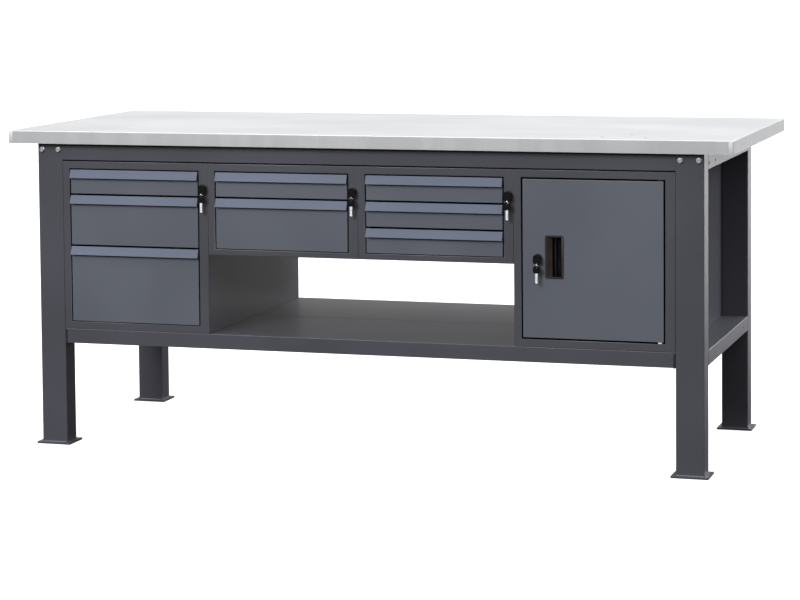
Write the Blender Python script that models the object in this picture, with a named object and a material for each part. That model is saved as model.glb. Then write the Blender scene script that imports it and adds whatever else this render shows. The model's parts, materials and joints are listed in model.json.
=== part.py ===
"""Workbench with drawer units, a cupboard and an open middle bay.

A steel frame of four box-section legs carries a steel-clad worktop, a two-plank lower shelf and
four units side by side: a tall drawer unit, two short drawer units and a tall cupboard.
Metres, +Z up, X along the bench, the user stands at -Y.
The origin is on the floor, under the middle of the worktop.
"""
import math
from collections import namedtuple

import bmesh
import bpy
from mathutils import Matrix, Vector

# ---------------------------------------------------------------- driving dimensions (metres)
WORKTOP_LENGTH = 2.000
WORKTOP_DEPTH = 0.850
BENCH_HEIGHT = 0.865
WORKTOP_THICKNESS = 0.035
WORKTOP_SHEET = 0.0015

END_OVERHANG = 0.078        # worktop past the legs, each end
FRONT_OVERHANG = 0.020      # worktop past the frame, front
REAR_OVERHANG = 0.100       # worktop past the frame, rear

LEG_WIDTH = 0.074
LEG_DEPTH = 0.060
LEG_WALL = 0.0025
FOOT_OVERHANG = 0.012
FOOT_THICKNESS = 0.005

BEAM_HEIGHT = 0.045
BEAM_DEPTH = 0.040
UNIT_HEAD_ROOM = 0.003      # between the beams and the units' roofs
SHELF_TOP = 0.321
SHELF_LIP = 0.040
SHELF_LIP_NOTCH = 0.006     # how far the shelf's front and rear lips stop short of the legs
RAIL_WALL = 0.002

VICE_HOLE_RADIUS = 0.006
VICE_HOLE_FROM_END = 0.295  # centre of the hole group to the worktop's right end
VICE_HOLE_FROM_EDGE = 0.072
VICE_HOLE_SPACING = 0.114
VICE_HOLE_REACH = 0.090     # the rear hole behind the two front holes

SHEET = 0.0015              # wall of units, shelves and fronts
LEFT_STILE = 0.020
RIGHT_STILE = 0.026
TOP_RAIL = 0.020
BOTTOM_RAIL = 0.020
SHORT_BOTTOM_RAIL = 0.016
FRAME_RETURN = 0.018        # how far the front frame folds back round each opening
UNIT_REAR_SETBACK = 0.012
DRAWER_SHARES = 6           # the tall units' opening holds six drawer modules

FRONT_GAP = 0.003           # between a drawer front and the frame round it
FRONT_THICKNESS = 0.015
DRAWER_DEPTH = 0.600
DRAWER_SIDE_ROOM = 0.013    # for one slide, between the box and the opening's edge
DRAWER_SHEET = 0.0012
DRAWER_FLOOR_DROP = 0.006   # the box's underside above the front's lower edge
DRAWER_HEAD_ROOM = 0.012    # the box's rim below the front's upper edge
DRAWER_TRAVEL_SHARE = 0.70

RUNNER_HEIGHT = 0.012
RUNNER_REACH = 0.0095
RUNNER_RISE = 0.002         # the runner's underside above the box's underside
CHANNEL_WALL = 0.0015
CHANNEL_CLEARANCE = 0.0005
CHANNEL_REACH = 0.011
CHANNEL_START = 0.036       # behind the frame's front face
BRACKET_FOOT = 0.020

HANDLE_HEIGHT = 0.023
HANDLE_REACH = 0.010
HANDLE_SHEET = 0.0012
HANDLE_SLANT = 1.06         # how much wider the sheet is across than square to its slope
HANDLE_FOOT = 0.006         # the band along the strip's top that lies on the drawer's front
HANDLE_HEM = 0.003

DOOR_GAP = 0.004
DOOR_FLOOR_GAP = 0.004
DOOR_THICKNESS = 0.018
HINGE_FROM_EDGE = 0.010
HINGE_FROM_FACE = 0.005
HINGE_PIN_RADIUS = 0.003
HINGE_PIN_GRIP = 0.008
HINGE_COLLAR_RADIUS = 0.006

CUP_WIDTH = 0.049
CUP_HEIGHT = 0.112
CUP_FROM_FREE_EDGE = 0.084  # the cup's middle to the door's free edge
CUP_MIDDLE_RISE = 0.2115    # the cup's middle above the door's lower edge
CUP_BEZEL = 0.0015
CUP_RIM = 0.003
CUP_DEPTH = 0.017
CUP_POCKET = 0.015
CUP_SLOPE_DEPTH = 0.006
CUP_SLOPE_WIDTH = 0.018

LOCK_DROP = 0.045           # the lock's axis below the opening's top edge
LOCK_HOUSING_RADIUS = 0.009
LOCK_BEZEL_RADIUS = 0.0105
LOCK_BEZEL = 0.002
LOCK_DEPTH = 0.020
PLUG_RADIUS = 0.006
CAM_PIN_RADIUS = 0.0015
CAM_PIN_OFFSET = 0.004
CRANK_SLOT_ROOM = 0.0004
DOOR_LOCK_FROM_FREE_EDGE = 0.0405
DOOR_LOCK_DROP = 0.002      # the door lock's axis below the cup's middle
DOOR_CAM_LENGTH = 0.049
DOOR_CAM_WIDTH = 0.014
DOOR_CAM_THICKNESS = 0.002
DOOR_CAM_ROOM = 0.0005      # between the tongue and the back of the door and its lock

KEY_BOW_WIDTH = 0.021
KEY_BOW_HEIGHT = 0.024
KEY_BOW_THICKNESS = 0.003
KEY_STAND_OFF = 0.008       # the bow's back in front of the lock's face
KEY_BLADE_WIDTH = 0.0065
KEY_BLADE_LENGTH = 0.026
KEY_BLADE_THICKNESS = 0.0022
SPARE_KEY_BOW = 0.019
SPARE_KEY_DROP = 0.004      # the spare key's top below the first key's bow
SPARE_KEY_ROOM = 0.001      # the spare key hangs this far in front of the first one

LOCK_BAR_WIDTH = 0.015
LOCK_BAR_THICKNESS = 0.001
LOCK_BAR_FROM_FACE = 0.026
LOCK_TAB_HEIGHT = 0.003
LOCK_TAB_CLEARANCE = 0.0015 # the unlocked tab's underside above the runner
LOCK_TAB_ROOM = 0.001       # between the tab and the box's side
LOCK_HOOK_REACH = 0.006
LOCK_HOOK_THICKNESS = 0.003
LOCK_HOOK_HEIGHT = 0.005
LOCK_HOOK_ROOM = 0.0015     # between the hook and the unlocked tab

CUPBOARD_SHELF_RISE = 0.215
CUPBOARD_SHELF_LIP = 0.020
CUPBOARD_SHELF_SETBACK = 0.040

GAP = 0.0003                # left between pieces that touch
REACH = 0.002               # how far a cutter runs past the face it opens
ROUND_SEGMENTS = 24

# ---------------------------------------------------------------- places worked out from them
HALF_LENGTH = WORKTOP_LENGTH / 2
FRONT = -WORKTOP_DEPTH / 2 + FRONT_OVERHANG
REAR = WORKTOP_DEPTH / 2 - REAR_OVERHANG
LEG_OUTER = HALF_LENGTH - END_OVERHANG
LEG_INNER = LEG_OUTER - LEG_WIDTH
SLAB_BOTTOM = BENCH_HEIGHT - WORKTOP_THICKNESS
FRAME_TOP = SLAB_BOTTOM - GAP
UNITS_TOP = FRAME_TOP - BEAM_HEIGHT - UNIT_HEAD_ROOM
UNITS_BOTTOM = SHELF_TOP + GAP
UNIT_PITCH = 2 * LEG_INNER / 4
TALL_HEIGHT = UNITS_TOP - UNITS_BOTTOM
MODULE = (TALL_HEIGHT - TOP_RAIL - BOTTOM_RAIL) / DRAWER_SHARES
SHORT_HEIGHT = TOP_RAIL + 3 * MODULE + SHORT_BOTTOM_RAIL
UNIT_REAR = REAR - UNIT_REAR_SETBACK
OPENING_TOP = UNITS_TOP - TOP_RAIL
LOCK_HEIGHT = OPENING_TOP - LOCK_DROP
BAR_TRAVEL = 2 * CAM_PIN_OFFSET * math.sin(math.pi / 4)
LOCK_TAB_RISE = RUNNER_RISE + RUNNER_HEIGHT + LOCK_TAB_CLEARANCE

Unit = namedtuple("Unit", "name left right bottom opening_left opening_right opening_bottom shares")
Finish = namedtuple("Finish", "colour roughness metallic")

FRAME_PAINT = Finish((0.075, 0.082, 0.100), 0.50, 0.0)
FRONT_PAINT = Finish((0.115, 0.130, 0.155), 0.48, 0.0)
HANDLE_PAINT = Finish((0.190, 0.215, 0.275), 0.42, 0.0)
INNER_PAINT = Finish((0.060, 0.065, 0.075), 0.55, 0.0)
CLAD_STEEL = Finish((0.620, 0.630, 0.640), 0.35, 0.9)
BOARD = Finish((0.420, 0.310, 0.190), 0.80, 0.0)
ZINC = Finish((0.550, 0.560, 0.580), 0.38, 1.0)
BLACK_PLASTIC = Finish((0.022, 0.018, 0.017), 0.45, 0.0)
LOCK_METAL = Finish((0.500, 0.500, 0.510), 0.30, 1.0)


def clear_scene():
    """Remove whatever the scene holds, so that the result is the same on each run."""
    for old in list(bpy.data.objects):
        bpy.data.objects.remove(old, do_unlink=True)


def new_collection(name):
    """A collection linked to the scene."""
    group = bpy.data.collections.new(name)
    bpy.context.scene.collection.children.link(group)
    return group


clear_scene()
PARTS = new_collection("workbench_with_drawers")
CUTTERS = new_collection("cutters")


# ---------------------------------------------------------------- small building functions
def add_box(mesh, low, high):
    """Add a box between two corners to a bmesh."""
    low = Vector(low)
    high = Vector(high)
    place = Matrix.Translation((low + high) / 2) @ Matrix.Diagonal((high - low).to_4d())
    bmesh.ops.create_cube(mesh, size=1.0, matrix=place)


def add_rod(mesh, centre, radius, length, axis):
    """Add a cylinder to a bmesh, its middle at centre and its length along axis 'X', 'Y' or 'Z'."""
    turn = {"X": Matrix.Rotation(math.pi / 2, 4, "Y"), "Y": Matrix.Rotation(math.pi / 2, 4, "X"),
            "Z": Matrix.Identity(4)}
    bmesh.ops.create_cone(mesh, cap_ends=True, segments=ROUND_SEGMENTS, radius1=radius,
                          radius2=radius, depth=length, matrix=Matrix.Translation(centre) @ turn[axis])


def place_mesh(name, mesh, group, origin):
    """Turn a bmesh made in world coordinates into an object whose origin is at a given point."""
    bmesh.ops.translate(mesh, verts=mesh.verts, vec=-Vector(origin))
    data = bpy.data.meshes.new(name)
    mesh.to_mesh(data)
    mesh.free()
    piece = bpy.data.objects.new(name, data)
    piece.location = origin
    group.objects.link(piece)
    return piece


def set_finish(piece, finish):
    """Give a piece a material of its own."""
    material = bpy.data.materials.new(piece.name + "_finish")
    material.use_nodes = True
    shader = material.node_tree.nodes["Principled BSDF"]
    shader.inputs["Base Color"].default_value = (*finish.colour, 1.0)
    shader.inputs["Roughness"].default_value = finish.roughness
    shader.inputs["Metallic"].default_value = finish.metallic
    piece.data.materials.append(material)


def make_piece(name, finish, boxes=(), rods=(), origin=(0.0, 0.0, 0.0)):
    """A piece that starts as separate boxes and rods."""
    mesh = bmesh.new()
    for low, high in boxes:
        add_box(mesh, low, high)
    for rod in rods:
        add_rod(mesh, *rod)
    piece = place_mesh(name, mesh, PARTS, origin)
    set_finish(piece, finish)
    return piece


def make_tool(name, boxes=(), rods=()):
    """A hidden shape that a Boolean uses."""
    mesh = bmesh.new()
    for low, high in boxes:
        add_box(mesh, low, high)
    for rod in rods:
        add_rod(mesh, *rod)
    tool = place_mesh(name, mesh, CUTTERS, (0.0, 0.0, 0.0))
    tool.display_type = "WIRE"
    tool.hide_render = True
    return tool


def apply_tool(piece, tool, operation):
    """Join a tool to a piece, or cut it out, with a Boolean modifier."""
    step = piece.modifiers.new(tool.name, "BOOLEAN")
    step.operation = operation
    step.solver = "EXACT"
    step.object = tool


def join(piece, label, boxes=(), rods=()):
    """Add boxes and rods that don't touch each other to a piece."""
    apply_tool(piece, make_tool(piece.name + "_" + label, boxes, rods), "UNION")


def cut(piece, label, boxes=(), rods=()):
    """Cut boxes and rods that don't touch each other out of a piece."""
    apply_tool(piece, make_tool(piece.name + "_" + label, boxes, rods), "DIFFERENCE")


def make_profile(name, finish, outline, left, right, origin):
    """An outline in Y and Z, extruded along X from left to right."""
    curve = bpy.data.curves.new(name, "CURVE")
    curve.dimensions = "2D"
    curve.fill_mode = "BOTH"
    curve.extrude = (right - left) / 2
    spline = curve.splines.new("POLY")
    spline.points.add(len(outline) - 1)
    for point, (y, z) in zip(spline.points, outline):
        point.co = (y - origin[1], z - origin[2], 0.0, 1.0)
    spline.use_cyclic_u = True
    piece = bpy.data.objects.new(name, curve)
    turn = Matrix(((0.0, 0.0, 1.0), (1.0, 0.0, 0.0), (0.0, 1.0, 0.0))).to_4x4()
    middle = ((left + right) / 2, origin[1], origin[2])
    piece.matrix_world = Matrix.Translation(middle) @ turn
    PARTS.objects.link(piece)
    set_finish(piece, finish)
    return piece


# ---------------------------------------------------------------- worktop
def vice_holes():
    """Centres of the three fixing holes near the right-hand front corner."""
    x = HALF_LENGTH - VICE_HOLE_FROM_END
    y = -WORKTOP_DEPTH / 2 + VICE_HOLE_FROM_EDGE
    half = VICE_HOLE_SPACING / 2
    return [(x - half, y), (x + half, y), (x, y + VICE_HOLE_REACH)]


def vice_hole_rods():
    """Rods that drill the fixing holes through the whole worktop."""
    middle = BENCH_HEIGHT - WORKTOP_THICKNESS / 2
    length = WORKTOP_THICKNESS + 2 * REACH
    return [((x, y, middle), VICE_HOLE_RADIUS, length, "Z") for x, y in vice_holes()]


def build_worktop():
    """A board core inside a folded steel lid."""
    half_depth = WORKTOP_DEPTH / 2
    sheet = make_piece("worktop_sheet", CLAD_STEEL,
                       [((-HALF_LENGTH, -half_depth, SLAB_BOTTOM),
                         (HALF_LENGTH, half_depth, BENCH_HEIGHT))])
    cut(sheet, "inside", [((-HALF_LENGTH + WORKTOP_SHEET, -half_depth + WORKTOP_SHEET,
                            SLAB_BOTTOM - REACH),
                           (HALF_LENGTH - WORKTOP_SHEET, half_depth - WORKTOP_SHEET,
                            BENCH_HEIGHT - WORKTOP_SHEET))])
    cut(sheet, "vice_holes", rods=vice_hole_rods())
    inset = WORKTOP_SHEET + GAP
    core = make_piece("worktop_core", BOARD,
                      [((-HALF_LENGTH + inset, -half_depth + inset, SLAB_BOTTOM),
                        (HALF_LENGTH - inset, half_depth - inset, BENCH_HEIGHT - inset))])
    cut(core, "vice_holes", rods=vice_hole_rods())


# ---------------------------------------------------------------- frame
def build_leg(name, side, front):
    """A box-section leg with a welded foot plate. side is -1 or 1, front is its front face."""
    left = min(side * LEG_OUTER, side * LEG_INNER)
    right = left + LEG_WIDTH
    rear = front + LEG_DEPTH
    foot_top = FOOT_THICKNESS
    leg = make_piece(name, FRAME_PAINT,
                     [((left, front, foot_top / 2), (right, rear, FRAME_TOP))])
    join(leg, "foot_plate", [((left - FOOT_OVERHANG, front - FOOT_OVERHANG, 0.0),
                              (right + FOOT_OVERHANG, rear + FOOT_OVERHANG, foot_top))])
    cut(leg, "bore", [((left + LEG_WALL, front + LEG_WALL, foot_top),
                       (right - LEG_WALL, rear - LEG_WALL, FRAME_TOP + REACH))])


def build_beam(name, front, open_to_rear):
    """A folded channel between two legs, under the worktop."""
    left = -LEG_INNER + GAP
    right = LEG_INNER - GAP
    bottom = FRAME_TOP - BEAM_HEIGHT
    beam = make_piece(name, FRAME_PAINT,
                      [((left, front, bottom), (right, front + BEAM_DEPTH, FRAME_TOP))])
    near = front + RAIL_WALL if open_to_rear else front - REACH
    far = front + BEAM_DEPTH + REACH if open_to_rear else front + BEAM_DEPTH - RAIL_WALL
    cut(beam, "channel", [((left + RAIL_WALL, near, bottom + RAIL_WALL),
                           (right - RAIL_WALL, far, FRAME_TOP - RAIL_WALL))])


def build_side_rail(name, side, bottom, top):
    """A folded channel between a front and a rear leg, flush with their outer faces."""
    outer = side * LEG_OUTER
    inner = side * (LEG_INNER + GAP)
    low = (min(outer, inner), FRONT + LEG_DEPTH + GAP, bottom)
    high = (max(outer, inner), REAR - LEG_DEPTH - GAP, top)
    rail = make_piece(name, FRAME_PAINT, [(low, high)])
    hollow_low = [low[0] + RAIL_WALL, low[1] + RAIL_WALL, low[2] + RAIL_WALL]
    hollow_high = [high[0] - RAIL_WALL, high[1] - RAIL_WALL, high[2] - RAIL_WALL]
    if side > 0:
        hollow_low[0] = low[0] - REACH
    else:
        hollow_high[0] = high[0] + REACH
    cut(rail, "channel", [(hollow_low, hollow_high)])


def build_shelf_plank(name, front, rear):
    """One plank of the lower shelf: a tray folded down on all four sides."""
    left = -LEG_INNER + GAP
    right = LEG_INNER - GAP
    bottom = SHELF_TOP - SHELF_LIP
    plank = make_piece(name, FRAME_PAINT, [((left, front, bottom), (right, rear, SHELF_TOP))])
    cut(plank, "tray", [((left + SHEET, front + SHEET, bottom - REACH),
                         (right - SHEET, rear - SHEET, SHELF_TOP - SHEET))])
    lip = front if front == FRONT else rear
    near, far = lip - 2 * REACH, lip + 2 * REACH
    notch_top = SHELF_TOP - 2 * SHEET
    cut(plank, "notches", [((left - REACH, near, bottom - REACH), (left + SHELF_LIP_NOTCH, far, notch_top)),
                           ((right - SHELF_LIP_NOTCH, near, bottom - REACH),
                            (right + REACH, far, notch_top))])


def build_frame():
    """Legs, beams, side rails and the lower shelf."""
    for side, side_name in ((-1, "left"), (1, "right")):
        build_leg("front_" + side_name + "_leg", side, FRONT)
        build_leg("rear_" + side_name + "_leg", side, REAR - LEG_DEPTH)
        build_side_rail(side_name + "_upper_side_rail", side, FRAME_TOP - BEAM_HEIGHT, FRAME_TOP)
        build_side_rail(side_name + "_lower_side_rail", side, SHELF_TOP - SHELF_LIP, SHELF_TOP)
    build_beam("front_top_beam", FRONT, True)
    build_beam("rear_top_beam", REAR - BEAM_DEPTH, False)
    middle = (FRONT + REAR) / 2
    build_shelf_plank("front_shelf_plank", FRONT, middle - GAP / 2)
    build_shelf_plank("rear_shelf_plank", middle + GAP / 2, REAR)


# ---------------------------------------------------------------- units
def make_unit(name, place, height, bottom_rail, shares):
    """The size and place of one unit: place counts from the left, shares are its drawers' modules."""
    left = -LEG_INNER + place * UNIT_PITCH + GAP / 2
    right = left + UNIT_PITCH - GAP
    bottom = UNITS_TOP - height
    return Unit(name, left, right, bottom, left + LEFT_STILE, right - RIGHT_STILE,
                bottom + bottom_rail, shares)


UNITS = (
    make_unit("left_unit", 0, TALL_HEIGHT, BOTTOM_RAIL, (1, 2, 3)),
    make_unit("middle_left_unit", 1, SHORT_HEIGHT, SHORT_BOTTOM_RAIL, (1, 2)),
    make_unit("middle_right_unit", 2, SHORT_HEIGHT, SHORT_BOTTOM_RAIL, (1, 1, 1)),
)
CUPBOARD = make_unit("cupboard", 3, TALL_HEIGHT, BOTTOM_RAIL, ())


def lock_centre(unit):
    """The point on the front face where a drawer unit's lock sits, on its right stile."""
    return ((unit.opening_right + unit.right) / 2, FRONT, LOCK_HEIGHT)


def build_carcass(unit, rods):
    """A unit's folded sheet body, with a frame folded back round its front opening."""
    behind = FRONT + FRAME_RETURN
    inner_low = (unit.left + SHEET, behind, unit.bottom + SHEET)
    inner_high = (unit.right - SHEET, UNIT_REAR - SHEET, UNITS_TOP - SHEET)
    body = make_piece(unit.name + "_carcass", FRAME_PAINT,
                      [((unit.left, FRONT, unit.bottom), (unit.right, UNIT_REAR, UNITS_TOP))])
    cut(body, "inside", [(inner_low, inner_high)])
    cut(body, "opening", [((unit.opening_left, FRONT - REACH, unit.opening_bottom),
                           (unit.opening_right, behind + REACH, OPENING_TOP))])
    pocket = make_tool(body.name + "_frame_pocket",
                       [((inner_low[0], FRONT + SHEET, inner_low[2]),
                         (inner_high[0], behind + REACH, inner_high[2]))])
    keep = make_tool(body.name + "_frame_return",
                     [((unit.opening_left - SHEET, FRONT, unit.opening_bottom - SHEET),
                       (unit.opening_right + SHEET, behind + 2 * REACH, OPENING_TOP + SHEET))])
    apply_tool(pocket, keep, "DIFFERENCE")
    apply_tool(body, pocket, "DIFFERENCE")
    cut(body, "drilling", rods=rods)


def drawer_rows(unit):
    """Each drawer's name and the lower and upper edge of its front, from the top down."""
    rows = []
    top = OPENING_TOP
    names = ("top", "bottom") if len(unit.shares) == 2 else ("top", "middle", "bottom")
    for label, share in zip(names, unit.shares):
        bottom = top - share * MODULE
        rows.append((unit.name + "_" + label, bottom + FRONT_GAP / 2, top - FRONT_GAP))
        top = bottom
    return rows


def box_floor(front_bottom):
    """The underside of the drawer box behind a front with this lower edge."""
    return front_bottom + DRAWER_FLOOR_DROP


def build_drawer(unit, name, bottom, top):
    """A drawer: tray-shaped front, sheet box, two runners and the hook that its lock bar catches."""
    face = (unit.opening_left + FRONT_GAP, unit.opening_right - FRONT_GAP)
    sides = (unit.opening_left + DRAWER_SIDE_ROOM, unit.opening_right - DRAWER_SIDE_ROOM)
    back = FRONT + FRONT_THICKNESS
    skin = FRONT + SHEET
    floor = box_floor(bottom)
    rim = top - DRAWER_HEAD_ROOM
    drawer = make_piece(name + "_drawer", FRONT_PAINT,
                        [((face[0], FRONT, bottom), (face[1], back, top))],
                        origin=((face[0] + face[1]) / 2, FRONT, bottom))
    cut(drawer, "front_tray", [((face[0] + SHEET, skin, bottom + SHEET),
                                (face[1] - SHEET, back + REACH, top - SHEET))])
    join(drawer, "box", [((sides[0], skin - SHEET / 2, floor),
                          (sides[1], FRONT + DRAWER_DEPTH, rim))])
    cut(drawer, "inside", [((sides[0] + DRAWER_SHEET, skin + DRAWER_SHEET, floor + DRAWER_SHEET),
                            (sides[1] - DRAWER_SHEET, FRONT + DRAWER_DEPTH - DRAWER_SHEET,
                             rim + REACH))])
    low = floor + RUNNER_RISE
    bite = DRAWER_SHEET / 2
    start = back + REACH
    end = FRONT + DRAWER_DEPTH - REACH
    hook_low = floor + LOCK_TAB_RISE + LOCK_TAB_HEIGHT + LOCK_HOOK_ROOM
    hook_front = FRONT + LOCK_BAR_FROM_FACE + LOCK_BAR_THICKNESS + FRONT_GAP
    join(drawer, "runners", [
        ((sides[0] - RUNNER_REACH, start, low), (sides[0] + bite, end, low + RUNNER_HEIGHT)),
        ((sides[1] - bite, start, low), (sides[1] + RUNNER_REACH, end, low + RUNNER_HEIGHT)),
        ((sides[1] - bite, hook_front, hook_low),
         (sides[1] + LOCK_HOOK_REACH, hook_front + LOCK_HOOK_THICKNESS, hook_low + LOCK_HOOK_HEIGHT)),
    ])


def build_handle(unit, name, top):
    """The folded strip along a drawer front's upper edge, with room for fingers behind it."""
    back = FRONT - GAP
    upper = back - HANDLE_SHEET
    tip = FRONT - HANDLE_REACH
    low = top - HANDLE_HEIGHT
    wall = HANDLE_SHEET * HANDLE_SLANT

    def inner(z):
        """Where the strip's inner face is at this height."""
        return upper + (tip - upper) * (top - z) / HANDLE_HEIGHT + wall

    hem_top = low + HANDLE_HEM
    foot_low = top - HANDLE_FOOT
    outline = [
        (back, top), (upper, top), (tip, low), (tip + 2 * wall, low),
        (inner(hem_top) + wall, hem_top), (inner(hem_top), hem_top),
        (inner(foot_low), foot_low), (back, foot_low),
    ]
    make_profile(name + "_handle", HANDLE_PAINT, outline, unit.opening_left + FRONT_GAP,
                 unit.opening_right - FRONT_GAP, (0.0, FRONT, top))


def build_slides(unit, side_name, side):
    """The fixed slide channels for one side of a unit, on two brackets.

    side is 1 on the left, where the drawer lies towards +X, and -1 on the right.
    """
    edge = unit.opening_left if side > 0 else unit.opening_right
    wall = unit.left + SHEET + GAP if side > 0 else unit.right - SHEET - GAP
    web = edge + side * (DRAWER_SIDE_ROOM - RUNNER_REACH - CHANNEL_CLEARANCE * 2 - CHANNEL_WALL)
    start = FRONT + CHANNEL_START
    end = FRONT + DRAWER_DEPTH
    low = unit.opening_bottom
    high = OPENING_TOP

    def across(x_one, x_two, y_one, y_two, z_one, z_two):
        """A box between two X values given in either order."""
        return ((min(x_one, x_two), y_one, z_one), (max(x_one, x_two), y_two, z_two))

    feet = []
    plates = []
    for y in (start, end - BRACKET_FOOT):
        feet.append(across(wall, wall + side * CHANNEL_WALL, y, y + BRACKET_FOOT, low, high))
        plates.append(across(wall + side * CHANNEL_WALL / 2, web + side * CHANNEL_WALL / 2,
                             y, y + CHANNEL_WALL, low, high))
    channels = []
    grooves = []
    for _, bottom, _ in drawer_rows(unit):
        runner = box_floor(bottom) + RUNNER_RISE
        groove_low = runner - CHANNEL_CLEARANCE
        groove_high = runner + RUNNER_HEIGHT + CHANNEL_CLEARANCE
        channels.append(across(web, web + side * CHANNEL_REACH, start, end,
                               groove_low - CHANNEL_WALL, groove_high + CHANNEL_WALL))
        grooves.append(across(web + side * CHANNEL_WALL, web + side * (CHANNEL_REACH + REACH),
                              start - REACH, end + REACH, groove_low, groove_high))
    slides = make_piece(unit.name + "_" + side_name + "_slides", ZINC, feet)
    join(slides, "plates", plates)
    join(slides, "channels", channels)
    cut(slides, "grooves", grooves)


# ---------------------------------------------------------------- locks and keys
def build_lock_housing(name, centre):
    """The fixed barrel of a lock, with a bezel on the front face."""
    x, y, z = centre
    barrel_back = y + LOCK_DEPTH
    bezel_front = y - GAP - LOCK_BEZEL
    housing = make_piece(name + "_lock_housing", LOCK_METAL, rods=[
        ((x, (bezel_front + barrel_back) / 2, z), LOCK_HOUSING_RADIUS, barrel_back - bezel_front, "Y")])
    join(housing, "bezel", rods=[((x, bezel_front + LOCK_BEZEL / 2, z), LOCK_BEZEL_RADIUS,
                                  LOCK_BEZEL, "Y")])
    cut(housing, "bore", rods=[((x, y, z), PLUG_RADIUS + GAP, 4 * LOCK_DEPTH, "Y")])


def key_bow_top(z):
    """The upper edge of the first key's bow, folded down in front of a lock at height z."""
    return z + KEY_BOW_WIDTH / 3


def build_key_plug(name, centre, plug_back):
    """The turning plug of a lock with its key in it, the key's bow folded down."""
    x, y, z = centre
    plug_front = y - LOCK_BEZEL - GAP
    bow_back = plug_front - KEY_STAND_OFF
    plug = make_piece(name + "_lock_key", LOCK_METAL, origin=centre, rods=[
        ((x, (plug_front + plug_back) / 2, z), PLUG_RADIUS, plug_back - plug_front, "Y")])
    half = KEY_BLADE_THICKNESS / 2
    join(plug, "blade", [((x - half, bow_back - KEY_BOW_THICKNESS / 2, z - KEY_BLADE_WIDTH / 2),
                          (x + half, plug_front + REACH, z + KEY_BLADE_WIDTH / 2))])
    top = key_bow_top(z)
    join(plug, "bow", [((x - KEY_BOW_WIDTH / 2, bow_back - KEY_BOW_THICKNESS, top - KEY_BOW_HEIGHT),
                        (x + KEY_BOW_WIDTH / 2, bow_back, top))])
    return plug


def build_spare_key(name, centre):
    """The second key, hanging below the first one's bow."""
    x, y, z = centre
    ring = key_bow_top(z) - KEY_BOW_HEIGHT - SPARE_KEY_DROP / 2
    top = ring - SPARE_KEY_DROP / 2
    back = y - LOCK_BEZEL - GAP - KEY_STAND_OFF - KEY_BOW_THICKNESS - SPARE_KEY_ROOM
    bow_bottom = top - SPARE_KEY_BOW
    half = KEY_BLADE_WIDTH / 2
    middle = back - KEY_BOW_THICKNESS / 2
    key = make_piece(name + "_spare_key", BLACK_PLASTIC, origin=(x, middle, ring),
                     boxes=[((x - SPARE_KEY_BOW / 2, back - KEY_BOW_THICKNESS, bow_bottom),
                             (x + SPARE_KEY_BOW / 2, back, top))])
    join(key, "blade", [((x - half, middle - KEY_BLADE_THICKNESS / 2, bow_bottom - KEY_BLADE_LENGTH),
                         (x + half, middle + KEY_BLADE_THICKNESS / 2, bow_bottom + REACH))])


def cam_pin(centre):
    """The middle of a drawer lock's crank pin, at rest."""
    swing = CAM_PIN_OFFSET * math.sin(math.pi / 4)
    return centre[0] + swing, centre[2] - swing


def build_drawer_lock(unit):
    """A drawer unit's lock: housing, plug with crank pin, spare key and the bar that it lifts."""
    centre = lock_centre(unit)
    bar_front = FRONT + LOCK_BAR_FROM_FACE
    bar_back = bar_front + LOCK_BAR_THICKNESS
    plug_back = bar_front - GAP
    build_lock_housing(unit.name, centre)
    plug = build_key_plug(unit.name, centre, plug_back)
    pin_x, pin_z = cam_pin(centre)
    pin_end = bar_back + REACH
    join(plug, "crank_pin", rods=[((pin_x, (plug_back - REACH + pin_end) / 2, pin_z), CAM_PIN_RADIUS,
                                   pin_end - plug_back + REACH, "Y")])
    build_spare_key(unit.name, centre)
    half = LOCK_BAR_WIDTH / 2
    low = unit.opening_bottom + SHEET
    tab_lows = [box_floor(bottom) + LOCK_TAB_RISE for _, bottom, _ in drawer_rows(unit)]
    high = max(centre[2] + LOCK_BAR_WIDTH, max(tab_lows) + LOCK_TAB_HEIGHT)
    bar = make_piece(unit.name + "_lock_bar", ZINC,
                     [((centre[0] - half, bar_front, low), (centre[0] + half, bar_back, high))],
                     origin=(centre[0], bar_front, centre[2]))
    tab_end = unit.opening_right - DRAWER_SIDE_ROOM + LOCK_TAB_ROOM
    join(bar, "tabs", [((tab_end, bar_front, low_edge),
                        (centre[0] - half + REACH, bar_back, low_edge + LOCK_TAB_HEIGHT))
                       for low_edge in tab_lows])
    room = CAM_PIN_RADIUS + CRANK_SLOT_ROOM
    cut(bar, "crank_slot", [((pin_x - room, bar_front - REACH, pin_z - room),
                             (centre[0] + CAM_PIN_OFFSET + room, bar_back + REACH, pin_z + room))])


# ---------------------------------------------------------------- cupboard
DOOR_LEFT = CUPBOARD.opening_left + DOOR_GAP
DOOR_RIGHT = CUPBOARD.opening_right - DOOR_GAP
DOOR_BOTTOM = CUPBOARD.opening_bottom + DOOR_FLOOR_GAP
DOOR_TOP = OPENING_TOP - DOOR_GAP
HINGE_X = DOOR_RIGHT - HINGE_FROM_EDGE
HINGE_Y = FRONT + HINGE_FROM_FACE
CUP_X = DOOR_LEFT + CUP_FROM_FREE_EDGE
CUP_Z = DOOR_BOTTOM + CUP_MIDDLE_RISE
DOOR_LOCK = (DOOR_LEFT + DOOR_LOCK_FROM_FREE_EDGE, FRONT, CUP_Z - DOOR_LOCK_DROP)


def hinge_bore_rods(radius):
    """Rods on the hinge axis through the lower and the upper end of the door's place."""
    length = 4 * HINGE_PIN_GRIP
    return [((HINGE_X, HINGE_Y, z), radius, length, "Z")
            for z in (DOOR_BOTTOM, DOOR_TOP)]


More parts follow.
